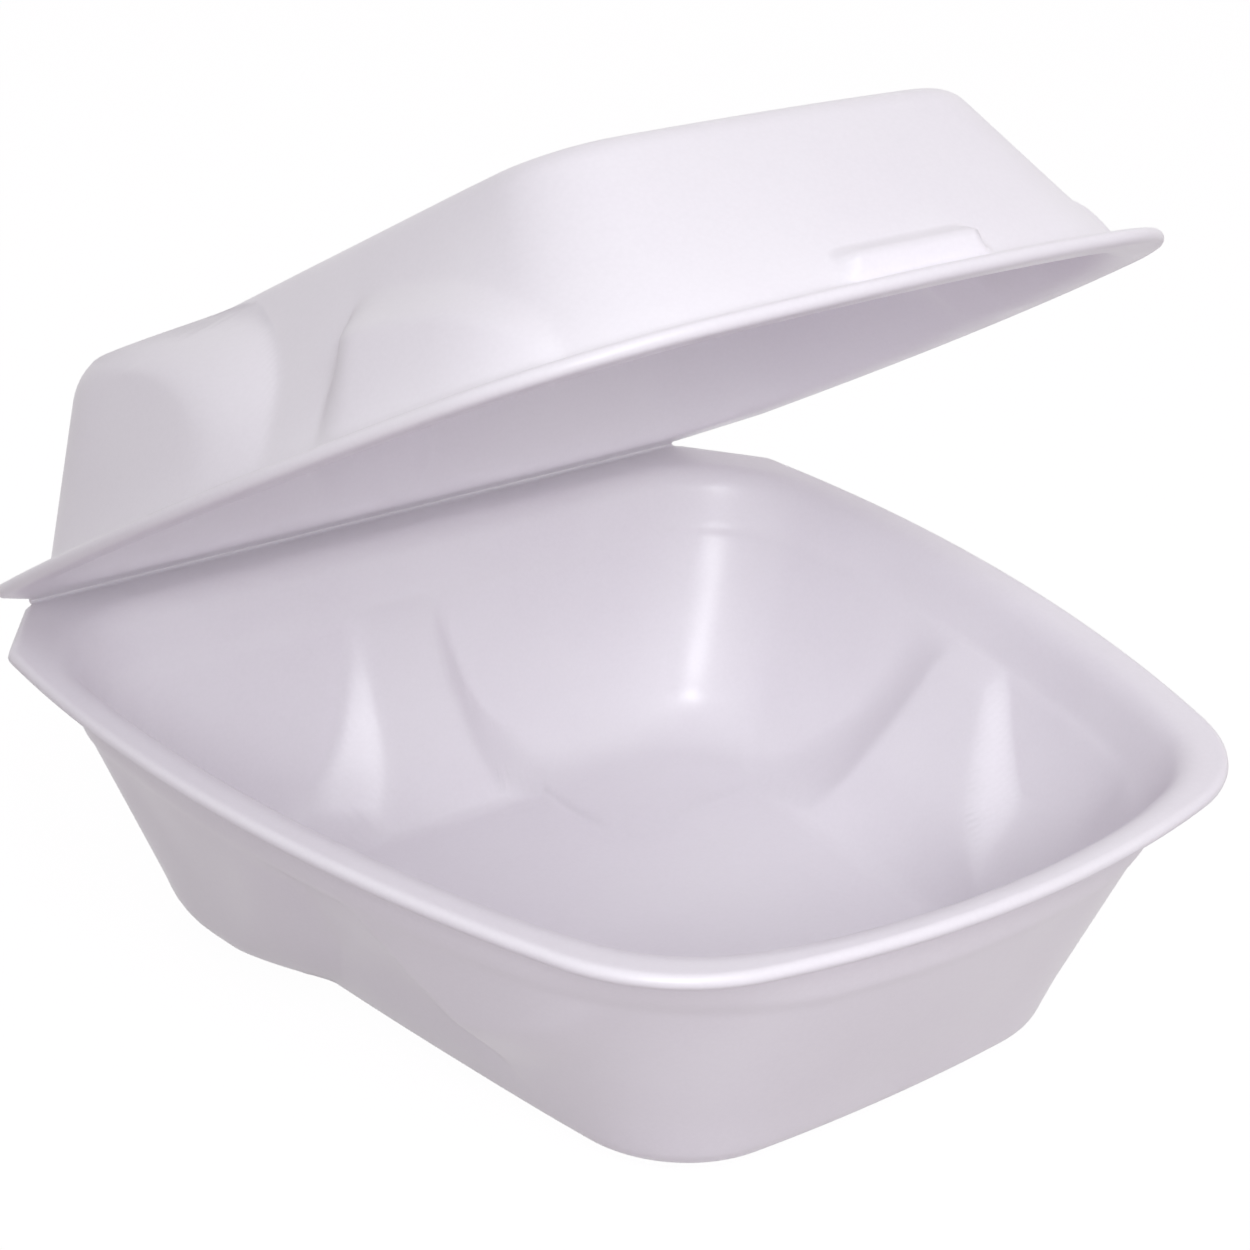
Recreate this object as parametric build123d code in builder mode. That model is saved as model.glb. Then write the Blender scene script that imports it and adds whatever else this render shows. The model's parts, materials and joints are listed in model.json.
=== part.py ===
from build123d import *
import os

# A hinged foam food container: a tray and a lid pressed from one sheet and joined along one crushed edge.
# Millimetres. +Z up, the hinge along X at the back (+Y), the origin at the middle of the tray's flat foot.
# Each half is drawn in its own frame: x across, y forward from the hinge line, z away from the rim's mating face.

# Sheet and rim, the same for both halves
sheet = 2.2
rim_back_half = 76.0
rim_front_half = 55.7
rim_side_bow = 8.7
rim_front_bow = 9.3
rim_edge_radius = 0.8
tip_width = 10.4
tip_setback = 14.1
tip_radius = 2.5

# Mouth, where the rim turns into the outside of the wall
rim_width = 4.4
hinge_rim_width = 7.5
mouth_back_radius = 20.0
corner_share = 0.79
corner_growth = 2.0

# Foot outline of the plain wall, measured outside
foot_back = 28.0
foot_back_radius = 16.0
foot_side_bow = 1.2
foot_front_bow = 2.0
foot_edge_radius = 6.0
floor_tolerance = 0.01

# Lobes beside the pinches: the same wall, less inclined, so that it stands proud of the plain wall
lobe_back = 20.0
lobe_back_radius = 18.0
lobe_edge_radius = 12.0

# Pinch in the middle of the hinge wall, half width outside and how far it spreads towards the floor
hinge_pinch_half = 5.0
hinge_pinch_spread = 9.0
hinge_pinch_shift = -5.5

# The two halves: rim and wall corners, how far the feet of the plain wall and of the lobes stand in from the rim,
# side pinches, and the front lobes' arch with the lean of its rear edge
tray_depth = 46.0
tray_shape = {
    "rim_length": 143.9, "corner_radius": 28.6, "mouth_radius": 24.2, "foot_radius": 18.0,
    "foot_front": 129.0, "foot_back_in": 26.7, "foot_front_in": 16.5,
    "lobe_back_in": 17.5, "lobe_front_in": 9.7,
    "pinch": 80.0, "half": 4.0, "spread": 28.0, "front_depth": 31.0, "lean": 17.0, "arch_run": 27.0,
}
shoulder_depth = 11.0
shoulder_lean = 2.8
shoulder_step = 0.6
lid_depth = 30.2
lid_shape = {
    "rim_length": 141.0, "corner_radius": 38.0, "mouth_radius": 39.0, "foot_radius": 13.0,
    "foot_front": 125.5, "foot_back_in": 28.0, "foot_front_in": 18.2,
    "lobe_back_in": 13.5, "lobe_front_in": 9.7,
    "pinch": 89.8, "half": 5.8, "spread": 42.0, "front_depth": 17.0, "lean": -2.5, "arch_run": 35.0,
}

# Latch pocket at the foot of the lid's front wall
latch_width = 27.0
latch_height = 7.0
latch_slant = 2.5
latch_margin = 0.5
latch_start = 1.1
latch_reach = 20.0

# Hinge and opening
hinge_half = rim_back_half - tip_width
hinge_gap = 0.25
rim_gap = 0.3
lid_open = 31.0

# The middle of the foot lies this far ahead of the hinge line
foot_centre = (lobe_back + tray_shape["foot_front"] + foot_front_bow) / 2
hinge_axis = Vector(0, foot_centre, tray_depth + rim_gap / 2)
lid_normal = Vector(0, 0, 1).rotate(Axis.X, -lid_open)

tray_frame = Plane(origin=(0, foot_centre, tray_depth), x_dir=(1, 0, 0), z_dir=(0, 0, -1))
lid_frame = Plane(origin=hinge_axis + lid_normal * rim_gap / 2, x_dir=(-1, 0, 0), z_dir=lid_normal)


def across(frame):
    """The plane that holds a half's side view: y forward, z away from the mating face."""
    return Plane(origin=frame.origin, x_dir=frame.y_dir, z_dir=frame.x_dir)


def along(frame):
    """The plane that holds a half's front view: x across, z away from the mating face."""
    return Plane(origin=frame.origin, x_dir=frame.x_dir, z_dir=-frame.y_dir)


def outline(frame, z, back, back_half, front, front_half, side_bow, front_bow, back_radius, front_radius):
    """One level of a wall: a straight back, bowed sides and front, rounded corners."""
    side_middle = (back_half + front_half) / 2 + side_bow
    middle = (back + front) / 2
    with BuildSketch(frame.offset(z)) as level:
        with BuildLine():
            Line((-back_half, back), (back_half, back))
            ThreePointArc((back_half, back), (side_middle, middle), (front_half, front))
            ThreePointArc((front_half, front), (0, front + front_bow), (-front_half, front))
            ThreePointArc((-front_half, front), (-side_middle, middle), (-back_half, back))
        make_face()
        fillet(level.vertices().group_by(Axis.Y)[0], back_radius)
        fillet(level.vertices().group_by(Axis.Y)[-1], front_radius)
    return level.sketch


def mouth(frame, z, inset, shape):
    """The wall's own outline where it leaves the rim, drawn in by inset."""
    corner = corner_share * (rim_width + inset)
    return outline(
        frame, z, hinge_rim_width + inset, rim_back_half - rim_width - inset,
        shape["rim_length"] - corner, rim_front_half - corner, rim_side_bow, rim_front_bow,
        mouth_back_radius - inset, shape["mouth_radius"] - inset + corner_growth * z,
    )


def floor_edges(solid, frame, depth):
    """Edges that lie in the floor, at one depth in a half's own frame."""
    return solid.edges().filter_by(lambda e: all(
        abs(frame.to_local_coords(e @ t).Z - depth) < floor_tolerance for t in (0, 0.5, 1)
    ))


def plain_wall(frame, start, start_inset, depth, inset, shape):
    """The plain inclined wall with its floor, as a closed solid."""
    with BuildPart() as solid:
        foot = outline(
            frame, depth, foot_back + inset, rim_back_half - shape["foot_back_in"] - inset,
            shape["foot_front"] - inset, rim_front_half - shape["foot_front_in"] - inset,
            foot_side_bow, foot_front_bow, foot_back_radius - inset, shape["foot_radius"] - inset,
        )
        loft([mouth(frame, start, start_inset + inset, shape), foot])
        fillet(floor_edges(solid, frame, depth), foot_edge_radius - inset / 2)
    return solid.part


def lobe_zone(frame, depth, inset, shape):
    """The room that the lobes may fill: behind the pinch, and under the front lobes' arch."""
    behind = shape["pinch"] - shape["half"] - inset
    ahead = shape["pinch"] + shape["half"] + inset
    floor_start = behind - shape["spread"]
    beyond = depth + foot_edge_radius
    crest = ahead + shape["lean"]
    crest_depth = shape["front_depth"] - inset
    run = shape["arch_run"] - inset
    hinge_half_top = hinge_pinch_half + inset
    hinge_half_foot = hinge_half_top + hinge_pinch_spread
    middle = hinge_pinch_shift * frame.x_dir.X
    with BuildPart() as zone:
        with BuildSketch(across(frame)):
            with BuildLine():
                Line((0, 0), (behind, 0))
                EllipticalCenterArc((floor_start, 0), shape["spread"], depth, start_angle=0, arc_size=90)
                Polyline((floor_start, depth), (floor_start, beyond), (0, beyond), (0, 0))
            make_face()
        extrude(amount=rim_back_half, both=True)
        with BuildSketch(along(frame)):
            with BuildLine():
                Polyline(
                    (middle - hinge_half_top, 0), (middle + hinge_half_top, 0),
                    (middle + hinge_half_foot, beyond), (middle - hinge_half_foot, beyond),
                    (middle - hinge_half_top, 0),
                )
            make_face()
        extrude(amount=shape["rim_length"], both=True, mode=Mode.SUBTRACT)
        with BuildSketch(across(frame)):
            with BuildLine():
                EllipticalCenterArc((crest, 0), run, crest_depth, start_angle=0, arc_size=90)
                Polyline((crest, crest_depth), (ahead, 0), (crest + run, 0))
            make_face()
        extrude(amount=rim_back_half, both=True)
    return zone.part


def lobed_wall(frame, start, start_inset, depth, inset, shape):
    """The plain wall with its corner lobes and front lobes, as a closed solid."""
    with BuildPart() as bulge:
        foot = outline(
            frame, depth, lobe_back + inset, rim_back_half - shape["lobe_back_in"] - inset,
            shape["foot_front"] - inset, rim_front_half - shape["lobe_front_in"] - inset,
            foot_side_bow, foot_front_bow, lobe_back_radius - inset, shape["foot_radius"] - inset,
        )
        loft([mouth(frame, start, start_inset + inset, shape), foot])
        fillet(floor_edges(bulge, frame, depth), lobe_edge_radius - inset)
        add(lobe_zone(frame, depth, inset, shape), mode=Mode.INTERSECT)
    with BuildPart() as solid:
        add(plain_wall(frame, start, start_inset, depth, inset, shape))
        add(bulge.part)
    return solid.part


def rim_plate(frame, shape):
    """The flat rim, straight along the hinge, with a cut corner at each end of it."""
    length = shape["rim_length"]
    side_middle = (rim_back_half + rim_front_half) / 2 + rim_side_bow
    middle = (tip_setback + length) / 2
    front_middle = length + rim_front_bow
    with BuildPart() as plate:
        with BuildSketch(frame) as level:
            with BuildLine():
                Polyline(
                    (-rim_back_half, tip_setback), (-hinge_half, hinge_gap),
                    (hinge_half, hinge_gap), (rim_back_half, tip_setback),
                )
                ThreePointArc((rim_back_half, tip_setback), (side_middle, middle), (rim_front_half, length))
                ThreePointArc((rim_front_half, length), (0, front_middle), (-rim_front_half, length))
                ThreePointArc((-rim_front_half, length), (-side_middle, middle), (-rim_back_half, tip_setback))
            make_face()
            fillet(level.vertices().group_by(Axis.Y)[-1], shape["corner_radius"])
            fillet(level.vertices().group_by(Axis.Y)[1], tip_radius)
        extrude(amount=sheet)
        flat_edges = floor_edges(plate, frame, 0) + floor_edges(plate, frame, sheet)
        hinge_edges = flat_edges.filter_by(Axis.X).group_by(lambda e: frame.to_local_coords(e @ 0.5).Y)[0]
        fillet(flat_edges - hinge_edges, rim_edge_radius)
    return plate.part


def tray_wall(inset):
    """The tray's wall: a band under the rim, then a small step inwards to the lobes."""
    step = shoulder_lean + shoulder_step
    with BuildPart() as wall:
        loft([
            mouth(tray_frame, 0, inset, tray_shape),
            mouth(tray_frame, shoulder_depth, inset + shoulder_lean, tray_shape),
        ])
        add(lobed_wall(tray_frame, shoulder_depth, step, tray_depth - inset, inset, tray_shape))
    return wall.part


def latch_pocket(inset):
    """The block that is pressed out of the lid's front wall, starting inside the rim's thickness."""
    half = latch_width / 2 - inset
    height = latch_height - inset
    pocket_front = lid_shape["rim_length"] + rim_front_bow - rim_width - latch_margin - inset
    with BuildPart() as pocket:
        with BuildSketch(along(lid_frame).offset(-pocket_front)):
            with BuildLine():
                Polyline(
                    (-half, latch_start), (half, latch_start),
                    (half - latch_slant, height), (-half + latch_slant, height), (-half, latch_start),
                )
            make_face()
        extrude(amount=latch_reach)
    return pocket.part


with BuildPart() as base_tray:
    add(rim_plate(tray_frame, tray_shape))
    add(tray_wall(0))
    add(tray_wall(sheet), mode=Mode.SUBTRACT)

with BuildPart() as lid:
    add(rim_plate(lid_frame, lid_shape))
    add(lobed_wall(lid_frame, 0, 0, lid_depth, 0, lid_shape))
    add(latch_pocket(0))
    add(lobed_wall(lid_frame, 0, 0, lid_depth - sheet, sheet, lid_shape), mode=Mode.SUBTRACT)
    add(latch_pocket(sheet), mode=Mode.SUBTRACT)

os.makedirs("parts", exist_ok=True)
base_tray.part.label = "base_tray"
export_step(base_tray.part, "parts/base_tray.step")
lid.part.label = "lid"
export_step(lid.part, "parts/lid.step")
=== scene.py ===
import bpy
import json
import math
import numpy as np
from mathutils import Matrix, Vector


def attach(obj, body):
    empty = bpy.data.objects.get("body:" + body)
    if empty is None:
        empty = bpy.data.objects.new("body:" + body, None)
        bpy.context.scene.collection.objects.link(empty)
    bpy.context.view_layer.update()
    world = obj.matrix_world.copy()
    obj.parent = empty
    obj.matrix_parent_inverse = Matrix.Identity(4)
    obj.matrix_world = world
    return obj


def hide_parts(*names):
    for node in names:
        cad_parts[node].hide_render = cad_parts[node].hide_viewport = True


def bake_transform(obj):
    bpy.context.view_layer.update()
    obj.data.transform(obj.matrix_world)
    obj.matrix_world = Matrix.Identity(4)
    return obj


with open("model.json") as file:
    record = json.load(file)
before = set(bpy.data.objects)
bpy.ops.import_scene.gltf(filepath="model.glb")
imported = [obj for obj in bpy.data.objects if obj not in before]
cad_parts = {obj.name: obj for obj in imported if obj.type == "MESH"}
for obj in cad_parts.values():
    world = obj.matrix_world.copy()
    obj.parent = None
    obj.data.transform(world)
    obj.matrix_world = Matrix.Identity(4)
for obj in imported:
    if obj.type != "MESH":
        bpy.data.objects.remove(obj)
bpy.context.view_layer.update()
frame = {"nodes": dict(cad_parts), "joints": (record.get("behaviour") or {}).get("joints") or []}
print("frame loaded:", ", ".join(frame["nodes"]))

mm = 0.001

# Rim and sheet, the same for both halves, in millimetres
rim = {
    "sheet": 2.2,
    "backHalf": 76.0,
    "frontHalf": 55.7,
    "sideBow": 8.7,
    "frontBow": 9.3,
    "hingeHalf": 65.6,
    "hingeGap": 0.25,
    "tipSetback": 14.1,
    "tipRadius": 2.5,
    "width": 4.4,           # from the rim's edge to the outside of the wall
    "hingeWidth": 7.5,
    "mouthBackRadius": 24.0,
    "cornerShare": 0.79,
    "cornerGrowth": 2.0,
    "rollRadius": 2.4,      # where the flange turns down into the wall
    "endRadius": 0.8,       # where the hinge edge meets the tips
    "hingeRest": 0.15,      # from the hinge line up or down to each rim's face
}

# How finely the skins are drawn
grid = {
    "around": 440, "flange": 7, "turn": 5, "band": 7, "wall": 42,
    "foot": 10, "floor": 26, "bead": 5, "evenings": 7,
}

rayCentre = 75.0    # the walls are drawn along rays from this far ahead of the hinge line
floorHeart = 1.5    # the small disk at the rays' centre that closes the floor


# Side arcs and rounded corners of one level, as a half outline from the back middle to the front middle

def circleThrough(a, b, c):
    ax, ay = a
    bx, by = b
    cx, cy = c
    d = 2 * (ax * (by - cy) + bx * (cy - ay) + cx * (ay - by))
    s, t, u = ax * ax + ay * ay, bx * bx + by * by, cx * cx + cy * cy
    x = (s * (by - cy) + t * (cy - ay) + u * (ay - by)) / d
    y = (s * (cx - bx) + t * (ax - cx) + u * (bx - ax)) / d
    return x, y, math.hypot(ax - x, ay - y)


def straightSide(a, b):
    # a very large circle whose inside is the inside of the outline
    mx, my = (a[0] + b[0]) / 2, (a[1] + b[1]) / 2
    length = math.hypot(b[0] - a[0], b[1] - a[1])
    ox, oy = (b[1] - a[1]) / length, -(b[0] - a[0]) / length
    if ox * mx + oy * (my - rayCentre) < 0:
        ox, oy = -ox, -oy
    return circleThrough(a, (mx + 0.005 * ox, my + 0.005 * oy), b)


def cornerCentre(a, b, corner, radius):
    ax, ay, ar = a
    bx, by, br = b
    p, q = ar - radius, br - radius
    dx, dy = bx - ax, by - ay
    d = math.hypot(dx, dy)
    t = (p * p - q * q + d * d) / (2 * d)
    h = math.sqrt(max(p * p - t * t, 0.0))
    found = [(ax + (t * dx - s * h * dy) / d, ay + (t * dy + s * h * dx) / d) for s in (1, -1)]
    return min(found, key=lambda c: math.hypot(c[0] - corner[0], c[1] - corner[1]))


def arcPoints(cx, cy, start, end, count):
    a0 = math.atan2(start[1] - cy, start[0] - cx)
    a1 = math.atan2(end[1] - cy, end[0] - cx)
    turn = (a1 - a0 + math.pi) % (2 * math.pi) - math.pi
    r = math.hypot(start[0] - cx, start[1] - cy)
    a = a0 + turn * np.linspace(0, 1, count)
    return np.c_[cx + r * np.cos(a), cy + r * np.sin(a)]


def halfOutline(first, last, sides, corners, radii):
    parts = []
    here = first
    for i, (corner, radius) in enumerate(zip(corners, radii)):
        x, y = cornerCentre(sides[i], sides[i + 1], corner, radius)
        touch = []
        for cx, cy, r in (sides[i], sides[i + 1]):
            d = math.hypot(x - cx, y - cy)
            touch.append((cx + (x - cx) * r / d, cy + (y - cy) * r / d))
        parts.append(arcPoints(sides[i][0], sides[i][1], here, touch[0], 60))
        parts.append(arcPoints(x, y, touch[0], touch[1], 60))
        here = touch[1]
    parts.append(arcPoints(sides[-1][0], sides[-1][1], here, last, 60))
    points = np.vstack(parts)
    angle = np.arctan2(np.abs(points[:, 0]), points[:, 1] - rayCentre)
    radius = np.hypot(points[:, 0], points[:, 1] - rayCentre)
    order = np.argsort(angle, kind="stable")
    return angle[order], radius[order]


def levelOutline(back, backHalf, front, frontHalf, sideBow, frontBow, backRadius, frontRadius):
    middle = ((backHalf + frontHalf) / 2 + sideBow, (back + front) / 2)
    sides = [
        straightSide((-backHalf, back), (backHalf, back)),
        circleThrough((backHalf, back), middle, (frontHalf, front)),
        circleThrough((frontHalf, front), (0, front + frontBow), (-frontHalf, front)),
    ]
    corners = [(backHalf, back), (frontHalf, front)]
    return halfOutline((0, back), (0, front + frontBow), sides, corners, [backRadius, frontRadius])


def rimOutline(shape):
    length = shape["rimLength"]
    hingeEnd = (rim["hingeHalf"], rim["hingeGap"])
    tip = (rim["backHalf"], rim["tipSetback"])
    corner = (rim["frontHalf"], length)
    middle = ((tip[0] + corner[0]) / 2 + rim["sideBow"], (tip[1] + length) / 2)
    front = (0, length + rim["frontBow"])
    sides = [
        straightSide((-hingeEnd[0], hingeEnd[1]), hingeEnd),
        straightSide(hingeEnd, tip),
        circleThrough(tip, middle, corner),
        circleThrough(corner, front, (-corner[0], length)),
    ]
    radii = [rim["endRadius"], rim["tipRadius"], shape["cornerRadius"]]
    return halfOutline((0, rim["hingeGap"]), front, sides, [hingeEnd, tip, corner], radii)


def mouthOutline(shape, inset, depth):
    share = rim["cornerShare"] * (rim["width"] + inset)
    return levelOutline(
        rim["hingeWidth"] + inset, rim["backHalf"] - rim["width"] - inset,
        shape["rimLength"] - share, rim["frontHalf"] - share, rim["sideBow"], rim["frontBow"],
        rim["mouthBackRadius"] - inset, shape["mouthRadius"] - inset + rim["cornerGrowth"] * depth,
    )


def radiusAt(outline, angle):
    folded = np.abs((angle + math.pi) % (2 * math.pi) - math.pi)
    return np.interp(folded, outline[0], outline[1])


def ringAngles(outlines, count):
    # even steps along the mean of the outlines, so that tips and corners get their share
    angle = np.linspace(0, math.pi, 4000)
    length = np.zeros(len(angle))
    for outline in outlines:
        r = radiusAt(outline, angle)
        x, y = r * np.sin(angle), r * np.cos(angle)
        length += np.r_[0, np.cumsum(np.hypot(np.diff(x), np.diff(y)))]
    half = np.interp(np.linspace(0, length[-1], count // 2 + 1), length, angle)
    return np.r_[half, 2 * math.pi - half[-2:0:-1]]


# The pocket at the foot of the lid's front wall
latchPocket = {
    "half": 13.5,
    "height": 7.0,
    "slant": 2.5,
    "margin": 0.5,
    "soft": 1.3,
    "underRim": (2.0, 1.5),    # where it starts under the rim, and how softly
}


# The wall's section along each ray: flange, turn, band under the rim, wall, foot edge and floor

def cornerArc(before, at, after, radius, count):
    u = before - at
    w = after - at
    u = u / np.linalg.norm(u, axis=-1, keepdims=True)
    w = w / np.linalg.norm(w, axis=-1, keepdims=True)
    between = np.arccos(np.clip((u * w).sum(-1, keepdims=True), -0.999999, 0.999999))
    reach = radius / np.tan(between / 2)
    middle = u + w
    middle = middle / np.maximum(np.linalg.norm(middle, axis=-1, keepdims=True), 1e-9)
    centre = at + middle * radius / np.sin(between / 2)
    a = at + u * reach - centre
    b = at + w * reach - centre
    turn = math.pi - between
    k = np.linspace(0, 1, count)[None, :, None]
    turn3, a3, b3 = turn[:, None, :], a[:, None, :], b[:, None, :]
    return centre[:, None, :] + (np.sin((1 - k) * turn3) * a3 + np.sin(k * turn3) * b3) / np.sin(turn3)


def straightRun(a, b, count):
    # count points between a and b, without the two ends
    k = np.linspace(0, 1, count + 2)[1:-1][None, :, None]
    return a[:, None, :] * (1 - k) + b[:, None, :] * k


def section(edge, mouth, shoulder, foot, shape, footEdge):
    n = len(edge)
    sheet, depth = rim["sheet"], shape["depth"]

    def column(r, d):
        return np.c_[r, np.full(n, d)]

    outer = column(edge, sheet)
    top = column(mouth - (mouth - shoulder) * sheet / shape["shoulderDepth"], sheet)
    band = column(shoulder, shape["shoulderDepth"])
    low = column(foot, depth)
    heart = column(np.full(n, floorHeart), depth)
    turn = cornerArc(outer, top, band, rim["rollRadius"], grid["turn"])
    base = cornerArc(band, low, heart, footEdge, grid["foot"])
    return np.concatenate([
        outer[:, None, :], straightRun(outer, turn[:, 0], grid["flange"]), turn,
        straightRun(turn[:, -1], band, grid["band"]), band[:, None, :],
        straightRun(band, base[:, 0], grid["wall"]), base,
        straightRun(base[:, -1], heart, grid["floor"]), heart[:, None, :],
    ], axis=1)


def ease(s):
    s = np.clip(s, 0, 1)
    return 1 - (1 - s) ** 2


def soft(s):
    s = np.clip(s, 0, 1)
    return s * s * (3 - 2 * s)


def lobeShare(x, f, d, shape):
    # how far a point of the wall belongs to a rear lobe, a front lobe and the pinches between, each 0 to 1
    deep = np.clip(d / shape["depth"], 0, 1)
    behind = shape["rearEdge"] - shape["rearCurve"] * (1 - np.sqrt(1 - deep ** 2))
    flank = shape["rearFlank"][0] + (shape["rearFlank"][1] - shape["rearFlank"][0]) * deep
    rear = ease((behind - f) / flank)
    spread = shape["hingePinchSpread"]
    sideways = shape["hingePinchHalf"] + spread[0] * deep + spread[1] * deep ** 6
    aside = np.abs(x - shape["hingePinch"]) - sideways
    rear = rear * np.clip(aside / (shape["hingeFlank"][0] + shape["hingeFlank"][1] * deep), 0, 1)
    reach = np.clip(d / shape["archDepth"], 0, 1.2)
    ahead = shape["frontEdge"] + shape["frontLean"] * reach ** shape["frontPower"]
    run = np.clip((f - shape["archStart"]) / shape["archRun"], 0, 1)
    arch = shape["archDepth"] * np.sqrt(1 - run ** 2)
    side = ease((f - ahead) / shape["frontFlank"])
    front = side * soft((arch - d) / shape["archSoft"] + 0.5)
    return rear, front, (1 - rear) * (1 - side)


def rimEdge(shape, angle):
    # the rim's outline drawn in by the rounding of its edge, square to the outline
    radius = radiusAt(rimOutline(shape), angle)
    ray = np.c_[np.sin(angle), np.cos(angle)]
    points = ray * radius[:, None]
    run = np.roll(points, -1, axis=0) - np.roll(points, 1, axis=0)
    square = np.c_[run[:, 1], -run[:, 0]] / np.linalg.norm(run, axis=1)[:, None]
    slant = np.abs((square * ray).sum(1))
    return radius - rim["sheet"] / 2 / np.maximum(slant, 0.6)


# Small forms on the walls, the same on both halves, in millimetres
wallForm = {
    "shoulderSoft": 2.8,        # how softly the wall steps in at the shoulder
    "stepFade": 12.0,           # the depth over which that step is gone again at the floor
    "pinchRise": 4.5,           # how soon the pinches stand in under the shoulder, and how slowly that ends
    "pinchFade": 12.0,
    "hingePinchShare": 0.2,     # the hinge's pinch stands in less than the sides'
    "sideFrom": 25.0,
    "sideRun": 15.0,
    "ridgeAt": 0.12,            # where on a rear lobe's flank the ridge on the floor's edge runs
    "ridgeWidth": 0.1,
    "ridgeFrom": 0.7,           # shares of the depth
    "ridgeRun": 0.25,
}


def outerSkin(shape, angle):
    edge = rimEdge(shape, angle)
    mouth = radiusAt(mouthOutline(shape, 0, 0), angle)
    plainFoot = radiusAt(levelOutline(*shape["plainFoot"]), angle)
    lobeFoot = radiusAt(levelOutline(*shape["lobeFoot"]), angle)
    if shape["shoulderLean"] is None:
        share = shape["shoulderDepth"] / shape["depth"]
        plainBand = mouth + (plainFoot - mouth) * share
        lobeBand = mouth + (lobeFoot - mouth) * share
    else:
        plainBand = radiusAt(mouthOutline(shape, shape["shoulderLean"], shape["shoulderDepth"]), angle)
        lobeBand = plainBand
    plain = section(edge, mouth, plainBand, plainFoot, shape, shape["plainEdge"])
    lobe = section(edge, mouth, lobeBand, lobeFoot, shape, shape["lobeEdge"])
    sine, cosine = np.sin(angle)[:, None], np.cos(angle)[:, None]
    mean = (plain + lobe) / 2
    meanX, meanF = mean[..., 0] * sine, rayCentre + mean[..., 0] * cosine
    rear, front, pinched = lobeShare(meanX, meanF, mean[..., 1], shape)
    share = np.maximum(rear, front)[..., None]
    blended = plain + (lobe - plain) * share
    r, d = blended[..., 0], blended[..., 1]
    below = soft((d - shape["shoulderDepth"]) / wallForm["shoulderSoft"] + 0.5)
    r = r - shape["shoulderStep"] * below * soft((shape["depth"] - d) / wallForm["stepFade"])
    pinched = pinched * soft((d - shape["shoulderDepth"]) / wallForm["pinchRise"])
    pinched = pinched * soft((shape["pinchEnd"] - d) / wallForm["pinchFade"])
    beside = soft((np.abs(r * sine) - wallForm["sideFrom"]) / wallForm["sideRun"])
    beside = wallForm["hingePinchShare"] + (1 - wallForm["hingePinchShare"]) * beside
    r = r - shape["pinchStep"] * pinched * beside
    # a faint ridge where a rear lobe runs out into the floor
    ridge = np.exp(-((rear - wallForm["ridgeAt"]) / wallForm["ridgeWidth"]) ** 2)
    ridge = ridge * soft((d / shape["depth"] - wallForm["ridgeFrom"]) / wallForm["ridgeRun"])
    d = d - shape["ridgeHeight"] * ridge
    x, f = r * sine, rayCentre + r * cosine
    if shape["latch"]:
        pocketFront = shape["rimLength"] + rim["frontBow"] - rim["width"] - latchPocket["margin"]
        width = latchPocket["half"] - latchPocket["slant"] * d / latchPocket["height"]
        start, rise = latchPocket["underRim"]
        under = soft((d - start) / rise)
        mask = soft((width - np.abs(x)) / latchPocket["soft"] + 0.5)
        mask = mask * soft((latchPocket["height"] - d) / latchPocket["soft"] + 0.5) * under
        mask = np.where(f > rayCentre, mask, 0)
        f = f + np.maximum(pocketFront - f, 0) * mask
    return np.stack([x, f, d], axis=-1)


def innerSkin(outer):
    # the same sheet's other face, one sheet thickness in along the normals
    along = np.roll(outer, -1, axis=0) - np.roll(outer, 1, axis=0)
    down = np.gradient(outer, axis=1)
    normal = np.cross(along, down)
    normal = normal / np.maximum(np.linalg.norm(normal, axis=-1, keepdims=True), 1e-12)
    if normal[0, -2, 2] > 0:
        normal = -normal
    # evened out, so that the face doesn't fold over itself in the creases
    for _ in range(grid["evenings"]):
        sideways = np.roll(normal, -1, axis=0) + np.roll(normal, 1, axis=0)
        ends = np.concatenate([normal[:, :1], normal, normal[:, -1:]], axis=1)
        normal = 2 * normal + sideways + ends[:, 2:] + ends[:, :-2]
        normal = normal / np.linalg.norm(normal, axis=-1, keepdims=True)
        normal[:, 0] = (0, 0, -1)
        normal[:, -1] = (0, 0, -1)
    return outer + normal * rim["sheet"]


def beadRings(outer, inner):
    # the rounded edge between the two faces of the flange
    flat = outer[:, 0] - np.array([0, rayCentre, 0])
    flat[:, 2] = 0
    out = flat / np.linalg.norm(flat, axis=-1, keepdims=True)
    tangent = np.roll(outer[:, 0], -1, axis=0) - np.roll(outer[:, 0], 1, axis=0)
    side = np.c_[tangent[:, 1], -tangent[:, 0], np.zeros(len(tangent))]
    side = side / np.linalg.norm(side, axis=-1, keepdims=True)
    side = side * np.sign((side * out).sum(-1, keepdims=True))
    middle = (outer[:, 0] + inner[:, 0]) / 2
    half = rim["sheet"] / 2
    rings = []
    for k in range(1, grid["bead"] + 1):
        a = math.pi / 2 - math.pi * k / (grid["bead"] + 1)
        rings.append(middle + side * half * math.cos(a) + np.array([0, 0, half * math.sin(a)]))
    return rings


def placeHalf(points, origin, xDir, zDir):
    yDir = zDir.cross(xDir)
    axes = np.array([xDir, yDir, zDir])
    return np.array(origin) + points @ axes * mm


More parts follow.
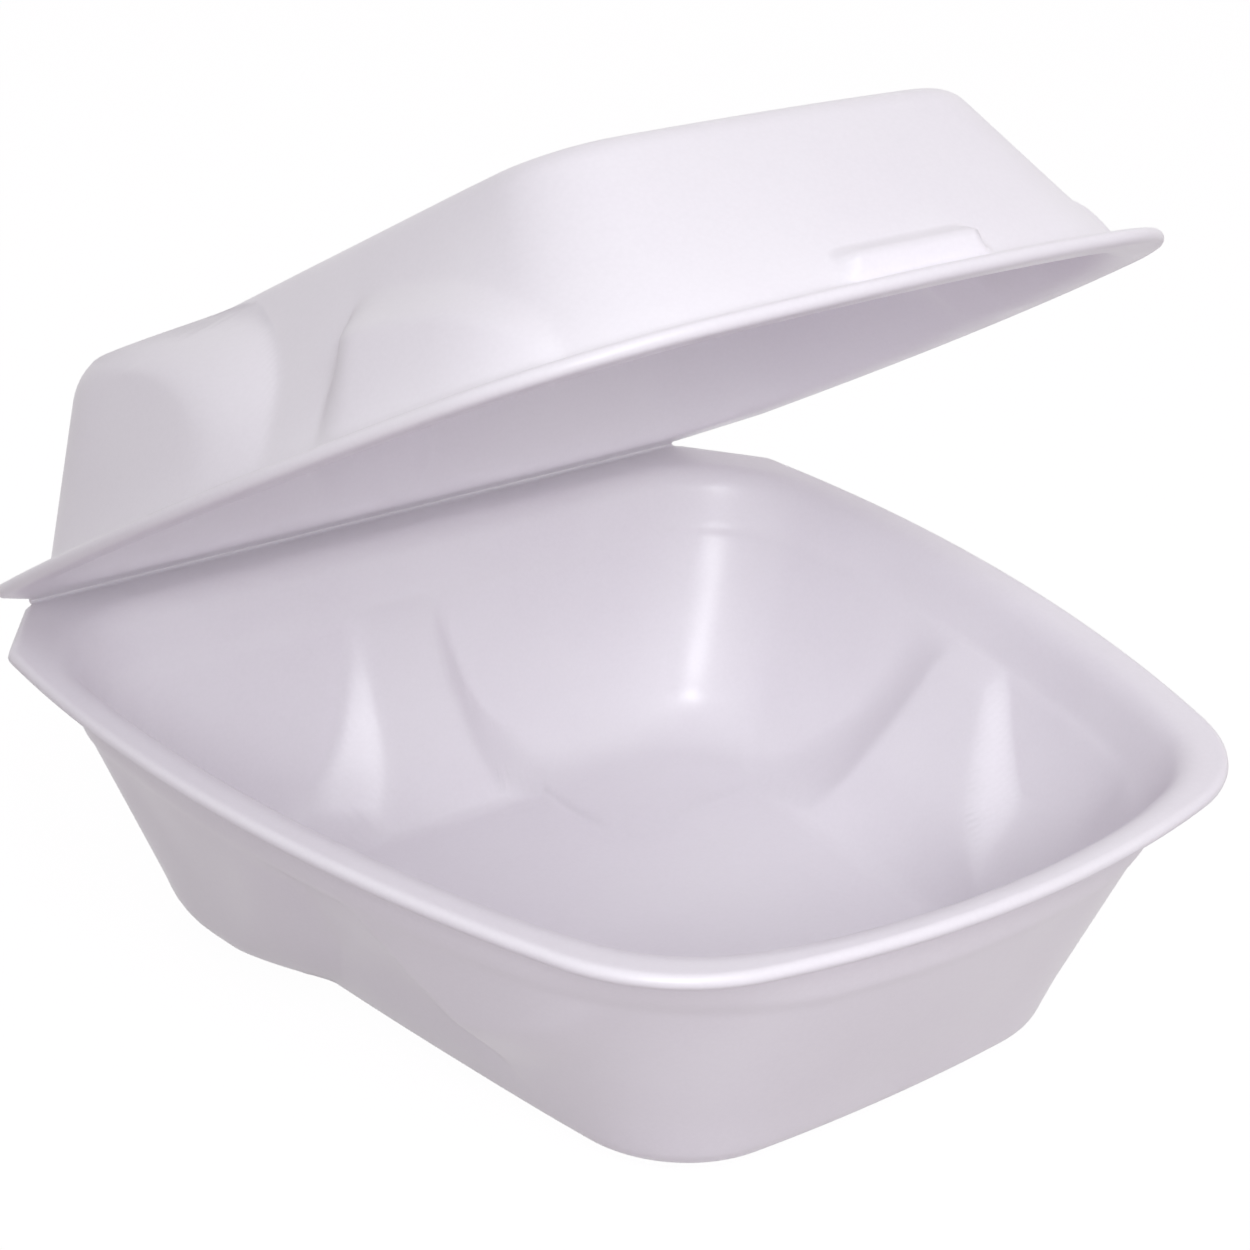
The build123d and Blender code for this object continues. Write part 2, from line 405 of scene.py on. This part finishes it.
def buildHalf(name, shape, origin, xDir, zDir):
    angle = ringAngles([rimOutline(shape), mouthOutline(shape, 0, 0)], grid["around"])
    outer = outerSkin(shape, angle)
    inner = innerSkin(outer)
    rings = [outer[:, i] for i in range(outer.shape[1] - 1, -1, -1)]
    rings += beadRings(outer, inner)
    rings += [inner[:, i] for i in range(inner.shape[1])]
    n = len(angle)
    points = np.concatenate(rings + [rings[0].mean(0)[None], rings[-1].mean(0)[None]])
    points = placeHalf(points, origin, xDir, zDir)
    faces = []
    for i in range(len(rings) - 1):
        for j in range(n):
            k = (j + 1) % n
            faces.append((i * n + j, i * n + k, (i + 1) * n + k, (i + 1) * n + j))
    first, last = len(rings) * n, len(rings) * n + 1
    for j in range(n):
        k = (j + 1) % n
        faces.append((first, k, j))
        faces.append((last, (len(rings) - 1) * n + j, (len(rings) - 1) * n + k))
    mesh = bpy.data.meshes.new(name)
    mesh.from_pydata([tuple(p) for p in points], [], faces)
    mesh.validate()
    if mesh.polygons[0].normal.dot(zDir) < 0:    # the first faces are the outside of the floor
        mesh.flip_normals()
    for polygon in mesh.polygons:
        polygon.use_smooth = True
    mesh.update()
    piece = bpy.data.objects.new(name, mesh)
    bpy.context.scene.collection.objects.link(piece)
    print(name, "built,", len(mesh.polygons), "faces")
    return piece


# Foam finish

foam = {
    "light": (0.966, 0.942, 0.975, 1),
    "dark": (0.936, 0.905, 0.948, 1),
    "roughness": (0.29, 0.37),
    "cloud": (28, 5, 0.6),          # slow mottling of the pressed sheet: scale, detail, roughness
    "cloudSpan": (0.3, 0.7),
    "haze": (90, 3, 0.5),           # patches of more and less sheen
    "wave": (45, 2, 0.5),           # slight unevenness that softens the highlights
    "waveStrength": 0.35,
    "waveDepth": 0.00025,
    "cells": 1500.0,                # the foam's small closed cells under the skin
    "cellSpan": 0.8,
    "cellShade": 0.98,
}


def noiseNode(nodes, links, place, form):
    noise = nodes.new("ShaderNodeTexNoise")
    for socket, value in zip(("Scale", "Detail", "Roughness"), form):
        noise.inputs[socket].default_value = value
    links.new(place.outputs["Vector"], noise.inputs["Vector"])
    return noise.outputs["Fac"]


def rangeNode(nodes, links, source, fromSpan, toSpan):
    spread = nodes.new("ShaderNodeMapRange")
    sockets = ("From Min", "From Max", "To Min", "To Max")
    for socket, value in zip(sockets, fromSpan + toSpan):
        spread.inputs[socket].default_value = value
    links.new(source, spread.inputs["Value"])
    return spread.outputs["Result"]


def foamMaterial(name, seed):
    material = bpy.data.materials.new(name)
    material.use_nodes = True
    nodes, links = material.node_tree.nodes, material.node_tree.links
    nodes.clear()
    output = nodes.new("ShaderNodeOutputMaterial")
    shader = nodes.new("ShaderNodeBsdfPrincipled")
    links.new(shader.outputs["BSDF"], output.inputs["Surface"])
    place = nodes.new("ShaderNodeTexCoord")
    shift = nodes.new("ShaderNodeMapping")
    shift.inputs["Location"].default_value = (seed, 0.37 * seed, 0.11 * seed)
    links.new(place.outputs["Object"], shift.inputs["Vector"])

    tint = nodes.new("ShaderNodeValToRGB")
    shades = (foam["dark"], foam["light"])
    for element, position, colour in zip(tint.color_ramp.elements, foam["cloudSpan"], shades):
        element.position = position
        element.color = colour
    links.new(noiseNode(nodes, links, shift, foam["cloud"]), tint.inputs["Fac"])
    cells = nodes.new("ShaderNodeTexVoronoi")
    cells.inputs["Scale"].default_value = foam["cells"]
    links.new(shift.outputs["Vector"], cells.inputs["Vector"])
    speckSpans = (0.0, foam["cellSpan"]), (1.0, foam["cellShade"])
    speck = rangeNode(nodes, links, cells.outputs["Distance"], *speckSpans)
    mixed = nodes.new("ShaderNodeMix")
    mixed.data_type = "RGBA"
    mixed.blend_type = "MULTIPLY"
    mixed.inputs["Factor"].default_value = 1.0
    links.new(tint.outputs["Color"], mixed.inputs["A"])
    links.new(speck, mixed.inputs["B"])
    links.new(mixed.outputs["Result"], shader.inputs["Base Color"])

    haze = noiseNode(nodes, links, shift, foam["haze"])
    links.new(rangeNode(nodes, links, haze, foam["cloudSpan"], foam["roughness"]), shader.inputs["Roughness"])
    wave = noiseNode(nodes, links, shift, foam["wave"])
    bump = nodes.new("ShaderNodeBump")
    bump.inputs["Strength"].default_value = foam["waveStrength"]
    bump.inputs["Distance"].default_value = foam["waveDepth"]
    links.new(wave, bump.inputs["Height"])
    links.new(bump.outputs["Normal"], shader.inputs["Normal"])
    return material


# The two halves, in the places that the frame gives

hingeLine = Vector(frame["joints"][0]["pos_m"])
lidOpen = 31.0    # degrees, as in the photograph
trayTop = hingeLine - Vector((0, 0, rim["hingeRest"] * mm))
lidAngle = math.radians(lidOpen)
lidNormal = Vector((0, math.sin(lidAngle), math.cos(lidAngle)))
lidTop = hingeLine + lidNormal * rim["hingeRest"] * mm

trayShape = {
    "depth": 46.0,
    "rimLength": 143.9,
    "cornerRadius": 28.6,
    "mouthRadius": 24.2,
    "plainFoot": (28.0, 49.3, 129.0, 39.2, 1.2, 2.0, 16.0, 18.0),
    "lobeFoot": (20.0, 58.5, 129.0, 46.0, 1.2, 2.0, 18.0, 18.0),
    "plainEdge": 6.0,
    "lobeEdge": 14.0,
    "shoulderDepth": 11.0,
    "shoulderLean": 2.8,
    "shoulderStep": 0.5,
    "pinchStep": 1.8,       # how far the pinches stand in under the shoulder, and the depth where that ends
    "pinchEnd": 41.0,
    "ridgeHeight": 0.45,
    "rearEdge": 76.0,       # the rear lobe's front edge at the rim, and how far it curves back at the floor
    "rearCurve": 28.0,
    "rearFlank": (13.0, 9.0),
    "frontEdge": 84.0,      # the front lobe's rear edge at the rim, and how far it leans at the arch's depth
    "frontLean": 17.5,
    "frontPower": 1.9,
    "frontFlank": 3.6,
    "archDepth": 31.0,
    "archStart": 95.0,
    "archRun": 36.0,
    "archSoft": 7.0,
    "hingePinch": -5.5,
    "hingePinchHalf": 5.2,
    "hingePinchSpread": (3.0, 12.0),
    "hingeFlank": (1.6, 3.0),
    "latch": False,
}

trayPiece = buildHalf("tray_foam", trayShape, trayTop, Vector((1, 0, 0)), Vector((0, 0, -1)))
trayPiece.data.materials.append(foamMaterial("tray foam", 1.3))
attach(trayPiece, "tray")
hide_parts("base_tray")

lidShape = {
    "depth": 30.2,
    "rimLength": 141.0,
    "cornerRadius": 38.0,
    "mouthRadius": 39.0,
    "plainFoot": (28.0, 48.0, 125.5, 37.5, 1.2, 2.0, 16.0, 13.0),
    "lobeFoot": (20.0, 64.5, 125.5, 46.0, 1.2, 2.0, 18.0, 13.0),
    "plainEdge": 6.0,
    "lobeEdge": 9.5,
    "shoulderDepth": 9.0,
    "shoulderLean": None,   # the lid's wall runs straight through
    "shoulderStep": 0.0,
    "pinchStep": 0.5,
    "pinchEnd": 30.0,
    "ridgeHeight": 0.2385,
    "rearEdge": 84.0,
    "rearCurve": 46.0,
    "rearFlank": (17.0, 8.0),
    "frontEdge": 95.6,
    "frontLean": -3.0,
    "frontPower": 1.0,
    "frontFlank": 7.0,
    "archDepth": 18.0,
    "archStart": 95.0,
    "archRun": 37.0,
    "archSoft": 4.5,
    "hingePinch": 5.5,
    "hingePinchHalf": 5.2,
    "hingePinchSpread": (3.0, 6.0),
    "hingeFlank": (3.5, 3.5),
    "latch": True,
}

lidPiece = buildHalf("lid_foam", lidShape, lidTop, Vector((-1, 0, 0)), lidNormal)
lidPiece.data.materials.append(foamMaterial("lid foam", 4.1))
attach(lidPiece, "lid")
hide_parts("lid")


# The crushed fold that joins the halves, drawn folded as it stands at rest

foldWeb = {
    "half": 64.6,
    "reach": 3.0,       # how far it lies on each rim
    "inside": 0.02,
    "thick": 0.34,
    "throat": 0.1,      # how far the fold's inner edge stands in front of the hinge line
    "turns": 9,
    "rows": 60,
    "bend": (0.17, 0.13),    # where it starts and ends to go with the lid, under and over the hinge line
}


def buildFold():
    trayForward, lidForward = Vector((0, -1, 0)), Vector((0, -lidNormal.z, lidNormal.y))
    down = Vector((0, 0, -1))
    near = foldWeb["inside"] * mm
    far = near + foldWeb["thick"] * mm
    steps = [foldWeb["reach"] * mm * k for k in (1.0, 0.8, 0.6, 0.4, 0.2)]
    loop = [trayTop + trayForward * s + down * near for s in steps]
    loop += [hingeLine + trayForward * foldWeb["throat"] * mm]
    loop += [lidTop + lidForward * s + lidNormal * near for s in reversed(steps)]
    loop += [lidTop + lidForward * s + lidNormal * far for s in steps]
    foldRadius = (lidTop - hingeLine).length + far
    for k in range(foldWeb["turns"]):
        turn = math.pi / 2 - lidAngle - (math.pi - lidAngle) * k / (foldWeb["turns"] - 1)
        loop.append(hingeLine + Vector((0, math.cos(turn), math.sin(turn))) * foldRadius)
    loop += [trayTop + trayForward * s + down * far for s in reversed(steps)]
    xs = np.linspace(-foldWeb["half"], foldWeb["half"], foldWeb["rows"]) * mm
    points = [(x, p.y, p.z) for x in xs for p in loop]
    m = len(loop)
    faces = []
    for i in range(len(xs) - 1):
        for j in range(m):
            k = (j + 1) % m
            faces.append((i * m + j, i * m + k, (i + 1) * m + k, (i + 1) * m + j))
    faces.append(tuple(range(m)))
    faces.append(tuple(range(len(points) - 1, len(points) - m - 1, -1)))
    mesh = bpy.data.meshes.new("fold_web")
    mesh.from_pydata(points, [], faces)
    mesh.validate()
    piece = bpy.data.objects.new("fold_web", mesh)
    bpy.context.scene.collection.objects.link(piece)
    return piece


foldPiece = buildFold()
foldPiece.data.materials.append(foamMaterial("crushed foam", 7.7))
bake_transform(foldPiece)
print("fold joined")


# Floor, white surround and lamps

studio = {
    "fill": (1.0, 0.94, 0.985, 1),
    "fillStrength": (0.32, 0.66),    # from the left, from the right
    "fillSpread": 0.8,
    "floor": (0.42, 0.37, 0.40, 1),
    "floorGlow": 0.86,      # the share that is plain white to the camera, and the rest holds the shadow
    "glowStrength": 1.125,
    "floorHalf": 3.0,
    "floorDrop": 0.0003,
    "lampsAt": (0, 0, 0.05),
    "high": {
        "from": (-0.27, -0.58, 0.77), "distance": 0.9, "size": 0.35,
        "power": 1.7, "colour": (0.935, 0.965, 1.0),
    },
    "near": {
        "from": (-0.58, -0.69, 0.44), "distance": 0.9, "size": 0.38,
        "power": 2.08, "colour": (0.94, 0.965, 1.0),
    },
    "inside": {
        "from": (-0.60, -0.68, 0.43), "at": (0.035, -0.005, 0.03), "distance": 0.7, "size": 0.07,
        "power": 3.8, "cone": 15, "blend": 0.8, "colour": (0.98, 0.985, 1.0),
    },
}


def whiteForCamera(nodes, links, limit):
    path = nodes.new("ShaderNodeLightPath")
    first = nodes.new("ShaderNodeMath")
    first.operation = "MAXIMUM"
    links.new(path.outputs["Is Camera Ray"], first.inputs[0])
    links.new(path.outputs["Is Glossy Ray"], first.inputs[1])
    second = nodes.new("ShaderNodeMath")
    second.operation = "MAXIMUM"
    links.new(first.outputs[0], second.inputs[0])
    links.new(path.outputs["Is Transmission Ray"], second.inputs[1])
    share = nodes.new("ShaderNodeMath")
    share.operation = "MULTIPLY"
    share.inputs[1].default_value = limit
    links.new(second.outputs[0], share.inputs[0])
    return share.outputs[0]


def hangLamp(lamp, setting, aim):
    lamp.energy = setting["power"]
    lamp.color = setting["colour"]
    holder = bpy.data.objects.new(lamp.name, lamp)
    direction = Vector(setting["from"]).normalized()
    holder.location = Vector(aim) + direction * setting["distance"]
    holder.rotation_euler = (-direction).to_track_quat("-Z", "Y").to_euler()
    bpy.context.scene.collection.objects.link(holder)


def buildStudio():
    world = bpy.data.worlds.new("studio")
    bpy.context.scene.world = world
    world.use_nodes = True
    nodes, links = world.node_tree.nodes, world.node_tree.links
    nodes.clear()
    output = nodes.new("ShaderNodeOutputWorld")
    fill = nodes.new("ShaderNodeBackground")
    fill.inputs["Color"].default_value = studio["fill"]
    place = nodes.new("ShaderNodeTexCoord")
    sides = nodes.new("ShaderNodeSeparateXYZ")
    links.new(place.outputs["Generated"], sides.inputs["Vector"])
    spread = studio["fillSpread"]
    across = rangeNode(nodes, links, sides.outputs["X"], (-spread, spread), studio["fillStrength"])
    links.new(across, fill.inputs["Strength"])
    white = nodes.new("ShaderNodeBackground")
    white.inputs["Color"].default_value = (1, 1, 1, 1)
    white.inputs["Strength"].default_value = 1.0
    mix = nodes.new("ShaderNodeMixShader")
    links.new(whiteForCamera(nodes, links, 1.0), mix.inputs["Fac"])
    links.new(fill.outputs[0], mix.inputs[1])
    links.new(white.outputs[0], mix.inputs[2])
    links.new(mix.outputs[0], output.inputs["Surface"])

    mesh = bpy.data.meshes.new("floor")
    size = studio["floorHalf"]
    corners = [(-size, -size, 0), (size, -size, 0), (size, size, 0), (-size, size, 0)]
    mesh.from_pydata(corners, [], [(0, 1, 2, 3)])
    floor = bpy.data.objects.new("floor", mesh)
    bpy.context.scene.collection.objects.link(floor)
    floor.location.z = -studio["floorDrop"]
    paint = bpy.data.materials.new("floor paint")
    paint.use_nodes = True
    nodes, links = paint.node_tree.nodes, paint.node_tree.links
    nodes.clear()
    output = nodes.new("ShaderNodeOutputMaterial")
    matt = nodes.new("ShaderNodeBsdfDiffuse")
    matt.inputs["Color"].default_value = studio["floor"]
    glow = nodes.new("ShaderNodeEmission")
    glow.inputs["Color"].default_value = (1, 1, 1, 1)
    glow.inputs["Strength"].default_value = studio["glowStrength"]
    mix = nodes.new("ShaderNodeMixShader")
    links.new(whiteForCamera(nodes, links, studio["floorGlow"]), mix.inputs["Fac"])
    links.new(matt.outputs[0], mix.inputs[1])
    links.new(glow.outputs[0], mix.inputs[2])
    links.new(mix.outputs[0], output.inputs["Surface"])
    mesh.materials.append(paint)

    for name in ("high", "near"):
        lamp = bpy.data.lights.new(name + " lamp", "AREA")
        lamp.shape = "DISK"
        lamp.size = studio[name]["size"]
        hangLamp(lamp, studio[name], studio["lampsAt"])
    lamp = bpy.data.lights.new("inside lamp", "SPOT")
    lamp.shadow_soft_size = studio["inside"]["size"]
    lamp.spot_size = math.radians(studio["inside"]["cone"])
    lamp.spot_blend = studio["inside"]["blend"]
    hangLamp(lamp, studio["inside"], studio["inside"]["at"])
    print("studio built")


buildStudio()


# The camera, at the photograph's angle
cameraView = {
    "azimuth": -40.5,
    "elevation": 25.54,
    "roll": 3.16,
    "distance": 426.1 * mm,
    "target": (0.0, 1.0 * mm, 46.15 * mm),
    "lens": 81.35,
    "shiftX": -0.0234,
    "shiftY": 0.0408,
}


def buildCamera():
    azimuth, elevation, roll = (math.radians(cameraView[k]) for k in ("azimuth", "elevation", "roll"))
    level = math.cos(elevation)
    back = Vector((math.sin(azimuth) * level, -math.cos(azimuth) * level, math.sin(elevation)))
    right = Vector((math.cos(azimuth), math.sin(azimuth), 0))
    up = back.cross(right)
    tiltedRight = right * math.cos(roll) + up * math.sin(roll)
    tiltedUp = up * math.cos(roll) - right * math.sin(roll)
    lens = bpy.data.cameras.new("camera")
    lens.sensor_fit = "HORIZONTAL"
    lens.sensor_width = 36
    lens.lens = cameraView["lens"]
    lens.shift_x = cameraView["shiftX"]
    lens.shift_y = cameraView["shiftY"]
    lens.clip_start = 0.01
    lens.clip_end = 20
    camera = bpy.data.objects.new("camera", lens)
    place = Vector(cameraView["target"]) + back * cameraView["distance"]
    turn = Matrix((tiltedRight, tiltedUp, back)).transposed()
    camera.matrix_world = Matrix.Translation(place) @ turn.to_4x4()
    bpy.context.scene.collection.objects.link(camera)
    bpy.context.scene.camera = camera
    print("camera placed")


buildCamera()

view = bpy.context.scene.view_settings
view.view_transform = "Standard"

bpy.context.view_layer.update()
